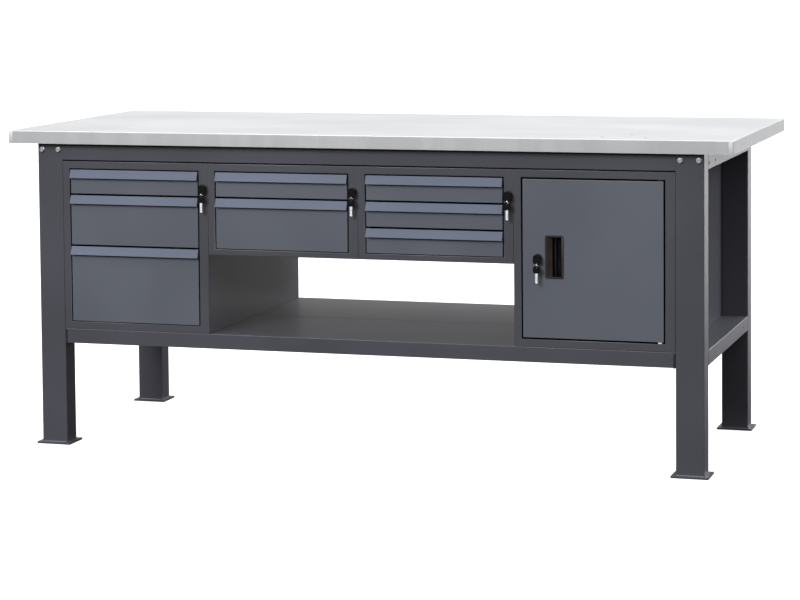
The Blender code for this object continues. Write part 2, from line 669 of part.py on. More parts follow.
def build_door():
    """The door: a folded tray with holes for its pins, its cup and its lock."""
    door = make_piece("cupboard_door", FRONT_PAINT,
                      [((DOOR_LEFT, FRONT, DOOR_BOTTOM), (DOOR_RIGHT, FRONT + DOOR_THICKNESS, DOOR_TOP))],
                      origin=(HINGE_X, HINGE_Y, DOOR_BOTTOM))
    cut(door, "tray", [((DOOR_LEFT + SHEET, FRONT + SHEET, DOOR_BOTTOM + SHEET),
                        (DOOR_RIGHT - SHEET, FRONT + DOOR_THICKNESS + REACH, DOOR_TOP - SHEET))])
    inset = CUP_RIM - GAP
    cut(door, "cup_hole", [((CUP_X - CUP_WIDTH / 2 + inset, FRONT - REACH, CUP_Z - CUP_HEIGHT / 2 + inset),
                            (CUP_X + CUP_WIDTH / 2 - inset, FRONT + 2 * REACH,
                             CUP_Z + CUP_HEIGHT / 2 - inset))])
    cut(door, "bores", rods=hinge_bore_rods(HINGE_PIN_RADIUS + GAP) + [
        (DOOR_LOCK, LOCK_HOUSING_RADIUS + GAP, 4 * REACH, "Y")])


def build_hinge_pins():
    """The two pins that the door turns on, held in the folded frame."""
    for name, inner, outer in (("lower_hinge_pin", DOOR_BOTTOM, CUPBOARD.opening_bottom),
                               ("upper_hinge_pin", DOOR_TOP, OPENING_TOP)):
        way = 1 if inner > outer else -1
        near = inner + way * HINGE_PIN_GRIP
        far = outer - way * HINGE_PIN_GRIP
        pin = make_piece(name, ZINC, origin=(HINGE_X, HINGE_Y, inner), rods=[
            ((HINGE_X, HINGE_Y, (near + far) / 2), HINGE_PIN_RADIUS, abs(near - far), "Z")])
        join(pin, "collar", rods=[((HINGE_X, HINGE_Y, (inner + outer) / 2), HINGE_COLLAR_RADIUS,
                                   abs(inner - outer) - 2 * GAP, "Z")])


def build_cup():
    """The recessed pull: a bezel on the door's face and a scoop behind it."""
    left = CUP_X - CUP_WIDTH / 2
    right = CUP_X + CUP_WIDTH / 2
    low = CUP_Z - CUP_HEIGHT / 2
    high = CUP_Z + CUP_HEIGHT / 2
    face = FRONT - GAP - CUP_BEZEL
    cup = make_piece("cupboard_door_cup", BLACK_PLASTIC,
                     [((left, face, low), (right, FRONT - GAP, high))])
    join(cup, "body", [((left + CUP_RIM, face + CUP_BEZEL / 2, low + CUP_RIM),
                        (right - CUP_RIM, FRONT + CUP_DEPTH, high - CUP_RIM))])
    inner = CUP_RIM + SHEET
    scoop = [(left + inner, face - REACH), (left + inner, face), (left + CUP_SLOPE_WIDTH,
             FRONT + CUP_SLOPE_DEPTH), (left + CUP_SLOPE_WIDTH, FRONT + CUP_POCKET),
             (right - inner, FRONT + CUP_POCKET), (right - inner, face - REACH)]
    mesh = bmesh.new()
    corners = [mesh.verts.new((x, y, low + inner)) for x, y in scoop]
    outline = mesh.faces.new(corners)
    swept = bmesh.ops.extrude_face_region(mesh, geom=[outline])
    moved = [item for item in swept["geom"] if isinstance(item, bmesh.types.BMVert)]
    bmesh.ops.translate(mesh, verts=moved, vec=(0.0, 0.0, CUP_HEIGHT - 2 * inner))
    bmesh.ops.recalc_face_normals(mesh, faces=mesh.faces)
    tool = place_mesh("cupboard_door_cup_scoop", mesh, CUTTERS, (0.0, 0.0, 0.0))
    tool.display_type = "WIRE"
    tool.hide_render = True
    apply_tool(cup, tool, "DIFFERENCE")


def build_door_lock():
    """The door's lock: its plug carries the tongue that swings behind the frame."""
    tongue_front = FRONT + max(DOOR_THICKNESS, LOCK_DEPTH) + DOOR_CAM_ROOM
    build_lock_housing("cupboard_door", DOOR_LOCK)
    plug = build_key_plug("cupboard_door", DOOR_LOCK, tongue_front + DOOR_CAM_THICKNESS / 2)
    x, _, z = DOOR_LOCK
    half = DOOR_CAM_WIDTH / 2
    join(plug, "tongue", [((x - half, tongue_front, z - DOOR_CAM_LENGTH),
                           (x + half, tongue_front + DOOR_CAM_THICKNESS, z + half))])
    build_spare_key("cupboard_door", DOOR_LOCK)


def build_cupboard_shelf():
    """The loose shelf inside the cupboard, folded down along its edges."""
    low = (CUPBOARD.left + SHEET + GAP, FRONT + CUPBOARD_SHELF_SETBACK,
           CUPBOARD.bottom + CUPBOARD_SHELF_RISE - CUPBOARD_SHELF_LIP)
    high = (CUPBOARD.right - SHEET - GAP, UNIT_REAR - SHEET - GAP,
            CUPBOARD.bottom + CUPBOARD_SHELF_RISE)
    shelf = make_piece("cupboard_shelf", INNER_PAINT, [(low, high)])
    cut(shelf, "tray", [((low[0] + SHEET, low[1] + SHEET, low[2] - REACH),
                         (high[0] - SHEET, high[1] - SHEET, high[2] - SHEET))])


# ---------------------------------------------------------------- assembly
def build_units():
    """The three drawer units, with their drawers, slides and locks, and the cupboard."""
    for unit in UNITS:
        build_carcass(unit, [(lock_centre(unit), LOCK_HOUSING_RADIUS + GAP, 4 * REACH, "Y")])
        build_slides(unit, "left", 1)
        build_slides(unit, "right", -1)
        for name, bottom, top in drawer_rows(unit):
            build_drawer(unit, name, bottom, top)
            build_handle(unit, name, top)
        build_drawer_lock(unit)
    build_carcass(CUPBOARD, hinge_bore_rods(HINGE_PIN_RADIUS + GAP))
    build_cupboard_shelf()
    build_door()
    build_hinge_pins()
    build_cup()
    build_door_lock()


build_worktop()
build_frame()
build_units()
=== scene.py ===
"""Workbench with drawers: its finished surfaces, modelled round the part's plain solids.

It is laid out as a Blender add-on and run as a script. Metres, +Z up; X runs along the bench and
the user stands at -Y. Sizes come from the solids' boxes, or from the values and properties below.
"""
import json
import math

import bpy
from bpy.props import FloatProperty, FloatVectorProperty, PointerProperty
from mathutils import Matrix, Vector

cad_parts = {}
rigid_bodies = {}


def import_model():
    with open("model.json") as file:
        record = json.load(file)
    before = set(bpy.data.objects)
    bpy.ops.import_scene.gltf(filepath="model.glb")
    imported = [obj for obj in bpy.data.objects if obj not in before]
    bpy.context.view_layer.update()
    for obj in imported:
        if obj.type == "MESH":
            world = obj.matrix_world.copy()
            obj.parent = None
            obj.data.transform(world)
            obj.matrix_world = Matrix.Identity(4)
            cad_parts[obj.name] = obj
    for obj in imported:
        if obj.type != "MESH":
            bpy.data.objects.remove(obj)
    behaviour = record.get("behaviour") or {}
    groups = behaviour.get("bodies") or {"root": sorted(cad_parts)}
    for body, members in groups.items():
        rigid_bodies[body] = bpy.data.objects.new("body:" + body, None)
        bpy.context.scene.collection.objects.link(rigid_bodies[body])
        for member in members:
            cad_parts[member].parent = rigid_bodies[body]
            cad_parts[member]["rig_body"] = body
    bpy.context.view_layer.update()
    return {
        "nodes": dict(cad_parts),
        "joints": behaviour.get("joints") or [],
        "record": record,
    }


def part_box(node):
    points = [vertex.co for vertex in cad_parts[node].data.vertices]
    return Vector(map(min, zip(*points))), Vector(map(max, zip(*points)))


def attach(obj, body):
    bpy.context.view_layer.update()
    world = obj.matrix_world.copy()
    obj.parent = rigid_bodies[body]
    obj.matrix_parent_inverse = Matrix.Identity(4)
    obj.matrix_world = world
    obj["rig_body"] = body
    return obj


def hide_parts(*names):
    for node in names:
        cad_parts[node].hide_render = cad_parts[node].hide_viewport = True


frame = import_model()

bl_info = {
    "name": "Workbench with drawers",
    "version": (1, 0, 0),
    "blender": (4, 5, 0),
    "location": "3D View > Sidebar > Workbench",
    "description": "Models the finished surfaces of a steel workbench round its frame",
    "category": "Add Mesh",
}

# ---------------------------------------------------------------- what the frame says
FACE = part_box("left_unit_carcass")[0].y         # the front plane of units, legs and beams
SLAB_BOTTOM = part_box("worktop_sheet")[0].z
BEAM_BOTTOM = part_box("front_top_beam")[0].z
JOINTS = {joint["name"]: joint for joint in frame["joints"]}
UNITS = ("left_unit", "middle_left_unit", "middle_right_unit")
LOCKS = UNITS + ("cupboard_door",)
LEGS = ("front_left_leg", "front_right_leg", "rear_left_leg", "rear_right_leg")
FIT = 0.0002             # how closely a corner has to lie on a plane to count as on it
ROOM = 0.0003            # left between pieces that touch
SHARP = math.radians(30.0)                      # edges at least this sharp can be rounded
SMOOTH = math.radians(40.0)                     # edges below this are shaded smooth

# legs, rails and shelf
FOOT_TOP = 0.005
FOOT_OVERHANG = 0.012                           # how far a foot plate reaches past its tube
TUBE_REACH = (0.0365, 0.0295)                   # the tube's corners lie further from its middle
LEG_SCREW = (0.024, 0.018)                      # from the leg's middle, and below the worktop
WELD_RIPPLE = (0.16, 2.4)                       # height and step of the ripple along the bead
RAIL_HOLES = {                                  # distances from the front, drop, radius
    "upper": ((0.100, 0.010), 0.028, 0.0045),
    "lower": ((0.096, 0.537), 0.021, 0.0035),
}
SHELF_SLOT = 0.006                              # the slot at each end of the shelf's lips
BUFFER_ROOM = 0.0001                            # the buffer sits tight in its slot
BUFFER_DEPTH = 0.0120
BUFFER_FOOT = 0.0015                            # how far it reaches below the shelf
SHORT_EDGE = 0.03                               # edges shorter than this keep their corners

# fronts: how far behind the face the painted shade inside the gaps reaches
GAP_SHADE_START = 0.0008
FRAME_GAP_SHADE = 0.020
DRAWER_GAP_SHADE = 0.014
DOOR_GAP_SHADE = 0.017
OUTER_WALL = 0.0020                             # a unit's outer walls keep the main paint, without painted shade

# the door's pull and pins
CUP_CORNER = 0.0050
CUP_BEZEL = 0.0015                              # how far the bezel stands in front of the door
CUP_SCOOP = (0.0515, 0.0008)                    # where the scoop's ends are, and how closely
CUP_POCKET = (0.0055, 0.0005)                   # the pocket's faces painted darker as shade, from the front and the back
CUP_RIB = (0.0020, 0.0032, 0.0110, 0.0022, 0.0048)      # left, right, front, back, ends
PIN_RADIUS = 0.0032                             # the pins' plated part, inside the bushes

# the locks and keys, which the plain part holds as blocks
BEZEL_THICKNESS = 0.002
BEZEL_EDGE = 0.009                              # the bezel's rim lies outside this radius
BEZEL_GROOVE = (0.0084, 0.0078, 0.0006)         # outer and inner radius, twice the depth
KEYWAY = (0.0014, 0.0030, 0.0042)               # half width, depth, half height
KEY_BOW = (0.021, 0.024, 0.003)                 # width, height, thickness
KEY_STAND_OFF = 0.008
KEY_DROP = 0.004
KEY_ROOM = 0.001
RING_HOLE = (0.0040, 0.0021)                    # distance from the bow's end, radius
SPARE_BOW = (0.019, 0.019, 0.003)
BLADE = (0.0065, 0.026, 0.0022)                 # width, length, thickness
BITTING = (0.0011, 0.0019, 0.0008, 0.0016, 0.0012)      # depths of the cuts in a blade
BITTING_START = 0.0075
BITTING_STEP = 0.0034


def node_body(node):
    """The body that a node of the frame rides on."""
    return frame["nodes"][node]["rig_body"]


def nodes_ending(*endings):
    """The frame's node names that end in one of these words, in order."""
    return sorted(name for name in frame["nodes"] if name.endswith(endings))


# ---------------------------------------------------------------- properties
def length(name, description, default):
    """A length property."""
    return FloatProperty(name=name, description=description, default=default, min=0.0,
                         subtype="DISTANCE", unit="LENGTH", precision=4)


def colour(name, description, default):
    """A colour property."""
    return FloatVectorProperty(name=name, description=description, default=default, size=3,
                               min=0.0, max=1.0, subtype="COLOR")


class WorkbenchSizes(bpy.types.PropertyGroup):
    """Sizes of the finished surfaces."""

    tube_radius: length("Leg corner radius", "Radius of the legs' corners", 0.0028)
    fold_radius: length("Fold radius", "Radius of the folds of units and rails", 0.0014)
    front_radius: length("Front radius", "Radius round drawer fronts and the door", 0.0012)
    lid_radius: length("Worktop fold radius", "Radius of the folds of the worktop's sheet", 0.0022)
    screw_head: length("Screw head", "Width of the screw heads on the legs", 0.0145)
    weld_bead: length("Weld bead", "Thickness of the weld round each foot plate", 0.0032)
    key_ring: length("Key ring", "Radius of the rings between the keys", 0.0055)


class WorkbenchColours(bpy.types.PropertyGroup):
    """Colours of the finishes."""

    frame_paint: colour("Frame paint", "Powder coat of frame and units", (0.075, 0.076, 0.092))
    front_paint: colour("Front paint", "Powder coat of drawer fronts and door", (0.105, 0.115, 0.142))
    # lighter than the front paint: painted light from above on the tilted strips
    handle_paint: colour("Handle paint", "Powder coat of the handle strips", (0.143, 0.165, 0.220))
    clad_steel: colour("Worktop steel", "Galvanised sheet of the worktop", (0.72, 0.73, 0.74))
    zinc: colour("Zinc plating", "Screws, slides and pins", (0.66, 0.67, 0.68))
    floor: colour("Floor", "The pale studio floor", (0.50, 0.50, 0.50))


def sizes():
    """The sizes set in the scene."""
    return bpy.context.scene.workbench_sizes


def colours():
    """The colours set in the scene."""
    return bpy.context.scene.workbench_colours


# ---------------------------------------------------------------- finishes
class Signal:
    """A shader value that Python arithmetic works on: each step adds a Math node."""

    def __init__(self, finish, socket):
        self.finish = finish
        self.socket = socket

    def step(self, operation, one, two):
        return self.finish.node("ShaderNodeMath", {"operation": operation}, {0: one, 1: two})

    def __add__(self, other):
        return self.step("ADD", self, other)

    def __mul__(self, other):
        return self.step("MULTIPLY", self, other)

    def __sub__(self, other):
        return self.step("SUBTRACT", self, other)

    def __rsub__(self, other):
        return self.step("SUBTRACT", other, self)

    __radd__ = __add__
    __rmul__ = __mul__


class NodeTree:
    """What materials and the world share: nodes added by type."""

    def __init__(self, owner):
        owner.use_nodes = True
        self.tree = owner.node_tree

    def node(self, kind, settings=None, values=None, output=0):
        """Add a node: settings first, then numbers or links for its sockets."""
        made = self.tree.nodes.new(kind)
        for name, value in (settings or {}).items():
            setattr(made, name, value)
        for key, value in (values or {}).items():
            if isinstance(value, Signal):
                self.tree.links.new(value.socket, made.inputs[key])
            else:
                made.inputs[key].default_value = value
        return Signal(self, made.outputs[output])

    def span(self, value, low, high):
        """A value spread smoothly from 0 at low to 1 at high."""
        return self.node("ShaderNodeMapRange", {"interpolation_type": "SMOOTHSTEP"},
                         {"Value": value, "From Min": low, "From Max": high})


class Finish(NodeTree):
    """A material, built from procedural nodes on object coordinates."""

    def __init__(self, name, **constants):
        self.material = bpy.data.materials.new(name.replace("_", " "))
        super().__init__(self.material)
        self.shader = self.tree.nodes["Principled BSDF"]
        for socket, value in constants.items():
            self.shader.inputs[socket.replace("_", " ")].default_value = value
        self.place = self.node("ShaderNodeTexCoord", output="Object")

    def noise(self, scale, detail=3.0, stretch=(1.0, 1.0, 1.0)):
        """Soft noise, with so many features a metre, stretched where a factor is below 1."""
        place = self.node("ShaderNodeMapping", None, {"Vector": self.place, "Scale": stretch})
        return self.node("ShaderNodeTexNoise", None,
                         {"Vector": place, "Scale": scale, "Detail": detail, "Roughness": 0.55})

    def mix(self, factor, one, two):
        """A colour between two."""
        values = {0: factor, 6: solid(one), 7: solid(two)}
        return self.node("ShaderNodeMix", {"data_type": "RGBA"}, values, output=2)

    def worn_and_highlit_edges(self, radius=0.0016):
        """Where outer edges are worn and lighter as a painted highlight: 1 on such an edge, in
        patches.
        """
        rounded = self.node("ShaderNodeBevel", {"samples": 4}, {"Radius": radius})
        flat = self.node("ShaderNodeNewGeometry", output="Normal")
        along = self.node("ShaderNodeVectorMath", {"operation": "DOT_PRODUCT"},
                          {0: rounded, 1: flat}, output="Value")
        patches = self.span(self.noise(24.0, 4.0), 0.30, 0.60) * 0.6 + 0.4
        return self.span(1.0 - along, 0.01, 0.14) * patches

    def heights(self, *layers):
        """Bumps one on another: each layer is a signal and its height in metres."""
        normal = None
        for signal, height in layers:
            values = {"Height": signal, "Strength": 1.0, "Distance": height}
            if normal is not None:
                values["Normal"] = normal
            normal = self.node("ShaderNodeBump", None, values)
        self.drive(Normal=normal)

    def drive(self, **signals):
        """Link signals to the shader's sockets."""
        for socket, signal in signals.items():
            self.tree.links.new(signal.socket, self.shader.inputs[socket.replace("_", " ")])


def solid(value):
    """A colour with its alpha, or a link as it is."""
    return value if isinstance(value, Signal) else (*value, 1.0)[:4]


def shade(tone, factor):
    """A colour made darker or lighter."""
    return tuple(min(1.0, part * factor) for part in tone)


def powder_coat(name, tone, roughness, gloss=0.5):
    """Satin powder coat: fine orange peel, slightly cloudy colour, edges lighter from rubbing and from
    a painted highlight.
    """
    finish = Finish(name, Specular_IOR_Level=gloss)
    cloud = finish.noise(2.4, 2.0)
    fine = finish.noise(620.0, 2.0)
    base = finish.mix(finish.span(cloud, 0.32, 0.68), shade(tone, 0.93), shade(tone, 1.07))
    flecks = finish.span(finish.noise(1400.0, 1.0), 0.62, 0.80) * 0.10
    speckled = finish.mix(flecks, base, shade(tone, 2.2))
    # edges lighter: rubbed paint and a painted highlight along each arris
    rubbed_and_highlit = finish.mix(finish.worn_and_highlit_edges() * 0.35, speckled, shade(tone, 2.6))
    finish.drive(Base_Color=rubbed_and_highlit, Roughness=cloud * 0.08 + fine * 0.05 + (roughness - 0.065))
    finish.heights((finish.noise(3.0, 1.0), 0.0006), (fine, 0.00004))
    return finish.material


def clad_steel(name, tone, grain, bands, roughness, metallic, depth=1.0):
    """Galvanised sheet: brushed along one way, with broad faint bands across it."""
    finish = Finish(name, Metallic=metallic)
    brushed = finish.noise(60.0, 6.0, grain)
    band = finish.noise(5.0, 3.0, bands)
    cloud = finish.noise(1.6, 3.0)
    smudge = finish.span(finish.noise(3.1, 5.0), 0.50, 0.72)
    base = finish.mix(finish.span(band, 0.34, 0.66), shade(tone, 0.94), shade(tone, 1.04))
    base = finish.mix(finish.span(brushed, 0.25, 0.75) * 0.35, base, shade(tone, 0.84))
    base = finish.mix(smudge * 0.22, base, shade(tone, 0.78))
    finish.drive(Base_Color=base,
                 Roughness=brushed * 0.10 + cloud * 0.10 + smudge * 0.05 + (roughness - 0.10))
    finish.heights((cloud, 0.0010 * depth), (brushed, 0.00003 * depth))
    return finish.material


def chipboard(name):
    """Raw particle board: pressed chips of several browns."""
    finish = Finish(name, Roughness=0.85)
    chips = finish.noise(240.0, 5.0, (1.0, 0.5, 1.4))
    dust = finish.noise(1500.0, 2.0)
    base = finish.mix(finish.span(chips, 0.35, 0.65), (0.23, 0.145, 0.075), (0.50, 0.37, 0.22))
    finish.drive(Base_Color=finish.mix(dust * 0.3, base, (0.56, 0.43, 0.28)))
    finish.heights((chips, 0.0003), (dust, 0.00008))
    return finish.material


def plated(name, tone, roughness, tint, metallic=1.0):
    """Plated steel: cloudy tint, fine draw lines, and edges lighter from wear and from a painted
    highlight.
    """
    finish = Finish(name, Metallic=metallic)
    cloud = finish.noise(45.0, 3.0)
    lines = finish.noise(900.0, 3.0, (1.0, 0.08, 1.0))
    base = finish.mix(finish.span(cloud, 0.35, 0.65), tone, tint)
    worn_and_highlit = finish.mix(finish.worn_and_highlit_edges(0.0008) * 0.4, base, shade(tone, 1.25))
    finish.drive(Base_Color=worn_and_highlit, Roughness=cloud * 0.12 + lines * 0.10 + (roughness - 0.11))
    finish.heights((lines, 0.00002))
    return finish.material


def moulded(name, tone, roughness, gloss=0.5, grain_height=0.00004):
    """Moulded plastic with a fine grain and edges polished by hands, lighter also as a painted
    highlight.
    """
    finish = Finish(name, Specular_IOR_Level=gloss)
    grain = finish.noise(1500.0, 3.0)
    cloud = finish.noise(30.0, 2.0)
    base = finish.mix(finish.span(cloud, 0.35, 0.65), shade(tone, 0.88), shade(tone, 1.12))
    rubbed_and_highlit = finish.worn_and_highlit_edges(0.0008)
    finish.drive(Base_Color=finish.mix(rubbed_and_highlit * 0.4, base, shade(tone, 1.9)),
                 Roughness=grain * 0.12 + cloud * 0.06 - rubbed_and_highlit * 0.10 + (roughness - 0.09))
    finish.heights((grain, grain_height))
    return finish.material


def recipes(tones):
    """Each finish's maker and what it needs after the name."""
    return {
        "frame_paint": (powder_coat, tones.frame_paint, 0.30),
        "front_paint": (powder_coat, tones.front_paint, 0.42),
        # painted light: the handle strips are a lighter copy of the front paint
        "handle_paint": (powder_coat, tones.handle_paint, 0.60, 0.10),
        # painted shade: the frame paint darkened for the cupboard's inside
        "inner_paint": (powder_coat, shade(tones.frame_paint, 0.55), 0.46),
        # painted shade: the frame paint darkened for the edges inside the gaps round the fronts
        "shaded_paint": (powder_coat, shade(tones.frame_paint, 0.15), 0.60, 0.10),
        "clad_steel": (clad_steel, shade(tones.clad_steel, 0.86), (0.05, 4.0, 4.0),
                       (0.4, 1.0, 1.0), 0.36, 0.30),
        # the same sheet on the worktop's edges, with its own grain; its darker tone is painted shade
        "clad_lip": (clad_steel, shade(tones.clad_steel, 0.78), (6.0, 6.0, 0.10),
                     (3.0, 3.0, 0.5), 0.46, 0.50, 0.3),
        "board": (chipboard,),
        "zinc": (plated, tones.zinc, 0.34, (0.60, 0.62, 0.60)),
        "lock_metal": (plated, (0.62, 0.62, 0.61), 0.26, (0.54, 0.53, 0.50)),
        "blade_metal": (plated, (1.0, 1.0, 1.0), 0.30, (0.97, 0.97, 0.96), 0.20),
        "lock_black": (plated, (0.020, 0.020, 0.022), 0.40, (0.030, 0.030, 0.032), 0.3),
        "black_plastic": (moulded, (0.026, 0.021, 0.019), 0.50, 0.30),
        "key_plastic": (moulded, (0.005, 0.005, 0.005), 0.55, 0.10),
        # painted shade: the black plastic darkened for the pull's deep pocket
        "pocket_shade": (moulded, (0.0035, 0.0030, 0.0028), 0.62, 0.08),
        "nylon": (moulded, (0.86, 0.86, 0.84), 0.40, 0.5, 0.00002),
    }


def finish_named(name):
    """The finish with this name, built once."""
    built = bpy.data.materials.get(name.replace("_", " "))
    if built:
        return built
    maker, *values = recipes(colours())[name]
    return maker(name, *values)


# ---------------------------------------------------------------- modelling by operator
def only(piece):
    """Make a piece the one selected, active object."""
    bpy.ops.object.select_all(action="DESELECT")
    piece.select_set(True)
    bpy.context.view_layer.objects.active = piece


def to_mode(mode):
    """Go to object or edit mode."""
    bpy.ops.object.mode_set(mode=mode)


def settle(name):
    """Name the object just added and put its place in its mesh."""
    piece = bpy.context.object
    piece.name = name
    bpy.ops.object.transform_apply(location=True, rotation=True, scale=True)
    return piece


def add_block(name, low, high):
    """A box between two corners, to be shaped further."""
    low = Vector(low)
    high = Vector(high)
    bpy.ops.object.select_all(action="DESELECT")
    bpy.ops.mesh.primitive_cube_add(size=1.0, location=(low + high) / 2, scale=high - low)
    return settle(name)


def add_rod(name, centre, radius, height, axis="Y", sides=40):
    """A cylinder with its middle at centre, to be shaped further."""
    quarter = math.pi / 2
    turn = {"X": (0.0, quarter, 0.0), "Y": (quarter, 0.0, 0.0), "Z": (0.0, 0.0, 0.0)}[axis]
    bpy.ops.object.select_all(action="DESELECT")
    bpy.ops.mesh.primitive_cylinder_add(vertices=sides, radius=radius, depth=height,
                                        location=centre, rotation=turn)
    return settle(name)


def frame_copy(node, name=None):
    """A copy of a node of the frame, merged, with each flat face made whole, to be shaped further."""
    piece = bpy.data.objects.new(name or node + "_skin", frame["nodes"][node].data.copy())
    bpy.context.scene.collection.objects.link(piece)
    piece.data.materials.clear()
    only(piece)
    to_mode("EDIT")
    bpy.ops.mesh.select_all(action="SELECT")
    bpy.ops.mesh.remove_doubles(threshold=0.00001)
    bpy.ops.mesh.dissolve_limited(angle_limit=math.radians(0.5))
    to_mode("OBJECT")
    return piece


def pick_edges(piece, test):
    """Select the sharp edges whose two ends pass a test, and stay in edit mode."""
    only(piece)
    to_mode("EDIT")
    bpy.ops.mesh.select_mode(type="EDGE")
    bpy.ops.mesh.select_all(action="DESELECT")
    bpy.ops.mesh.edges_select_sharp(sharpness=SHARP)
    to_mode("OBJECT")
    points = piece.data.vertices
    picked = [edge for edge in piece.data.edges
              if edge.select and test(*(points[end].co for end in edge.vertices))]
    for items in (points, piece.data.edges, piece.data.polygons):
        items.foreach_set("select", [False] * len(items))
    for edge in picked:
        edge.select = True
        for end in edge.vertices:
            points[end].select = True
    to_mode("EDIT")
    bpy.ops.mesh.select_mode(type="EDGE")


def round_edges(piece, test, radius, steps=3):
    """Round the sharp edges whose ends pass a test."""
    pick_edges(piece, test)
    bpy.ops.mesh.bevel(offset=radius, segments=steps, affect="EDGES", clamp_overlap=True)
    to_mode("OBJECT")


def ease_edges(piece, width=0.0004, steps=2):
    """Take the sharpness off every edge that is still sharp."""
    step = piece.modifiers.new("ease", "BEVEL")
    step.width = width
    step.segments = steps
    step.limit_method = "ANGLE"
    step.angle_limit = SMOOTH
    apply_step(piece, step)


def apply_step(piece, step):
    """Apply a modifier to a piece."""
    only(piece)
    bpy.ops.object.modifier_apply(modifier=step.name)


def combine(piece, tool, operation):
    """Cut a tool out of a piece, or join it on, and remove the tool."""
    step = piece.modifiers.new("combine", "BOOLEAN")
    step.operation = operation
    step.solver = "EXACT"
    step.object = tool
    apply_step(piece, step)
    bpy.data.objects.remove(tool, do_unlink=True)


def join_pieces(pieces, name):
    """Join separate shells into one object."""
    only(pieces[0])
    for piece in pieces:
        piece.select_set(True)
    bpy.ops.object.join()
    pieces[0].name = name
    return pieces[0]


def copy_piece(piece, name, shift):
    """A copy of a piece with its own mesh, moved along."""
    copy = bpy.data.objects.new(name, piece.data.copy())
    bpy.context.scene.collection.objects.link(copy)
    copy.data.transform(Matrix.Translation(shift))
    return copy


def shade_returns(piece, main, depth):
    """Two finishes: the main one, and painted shade, a dark copy of the frame paint, on the edges
    inside the gaps.
    """
    front = min(corner[1] for corner in piece.bound_box)
    give_finishes(piece, main, "shaded_paint",
                  lambda face: front + GAP_SHADE_START < face.center.y < front + depth
                  and abs(face.normal.y) < 0.3)


def hand_over(piece, body, slot, finish, *nodes):
    """Shade a finished piece, give it its finish and its body, and hide the frame's nodes it stands
    for.
    """
    only(piece)
    bpy.ops.object.shade_smooth_by_angle(angle=SMOOTH)
    step = piece.modifiers.new("normals", "WEIGHTED_NORMAL")
    step.keep_sharp = True
    apply_step(piece, step)
    if finish:
        piece.data.materials.clear()
        piece.data.materials.append(finish_named(finish))
    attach(piece, body)
    if nodes:
        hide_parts(*nodes)
    return piece


def give_finishes(piece, main, other, is_other):
    """Two finishes: the other one goes on the faces that pass a test."""
    piece.data.materials.append(finish_named(main))
    piece.data.materials.append(finish_named(other))
    for face in piece.data.polygons:
        face.material_index = 1 if is_other(face) else 0


def on_plane(axis, value):
    """A test: both ends lie on a plane across an axis."""
    return lambda one, two: abs(one[axis] - value) < FIT and abs(two[axis] - value) < FIT


def runs_along(axis):
    """A test: the edge runs along an axis."""
    return lambda one, two: all(abs(one[k] - two[k]) < FIT for k in range(3) if k != axis)


# ---------------------------------------------------------------- operators
class Build(bpy.types.Operator):
    """What the operators share."""

    bl_options = {"REGISTER", "UNDO"}

    def execute(self, context):
        self.build()
        return {"FINISHED"}


class WORKBENCH_OT_worktop(Build):
    """Model the folded steel lid of the worktop"""

    bl_idname = "workbench.worktop"
    bl_label = "Worktop"

    def build(self):
        low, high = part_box("worktop_sheet")
        lid = frame_copy("worktop_sheet", "worktop_lid")
        radius = sizes().lid_radius

        def outer_top(one, two):
            side = any(min(abs(one[axis]), abs(two[axis])) > high[axis] - FIT for axis in (0, 1))
            return side and on_plane(2, high.z)(one, two)

        def outer_corner(one, two):
            outside = all(abs(one[axis]) > high[axis] - FIT for axis in (0, 1))
            return outside and runs_along(2)(one, two)

        round_edges(lid, lambda one, two: outer_top(one, two) or outer_corner(one, two), radius, 4)
        seam = 0.0125        # from the corner to where the side's fold ends under the front's
        half = 0.0003        # half the seam's width, and its depth
        past = 0.001
        for x in (low.x + seam, high.x - seam):
            groove = add_block("lip_seam", (x - half, low.y - past, low.z - past),
                               (x + half, low.y + half, high.z - radius))
            combine(lid, groove, "DIFFERENCE")
        ease_edges(lid, 0.0003, 1)
        # the edge faces, picked by facing, get the darker copy: painted shade
        give_finishes(lid, "clad_steel", "clad_lip", lambda face: abs(face.normal.z) <= 0.6)
        hand_over(lid, "bench", "clad_steel", None, "worktop_sheet")


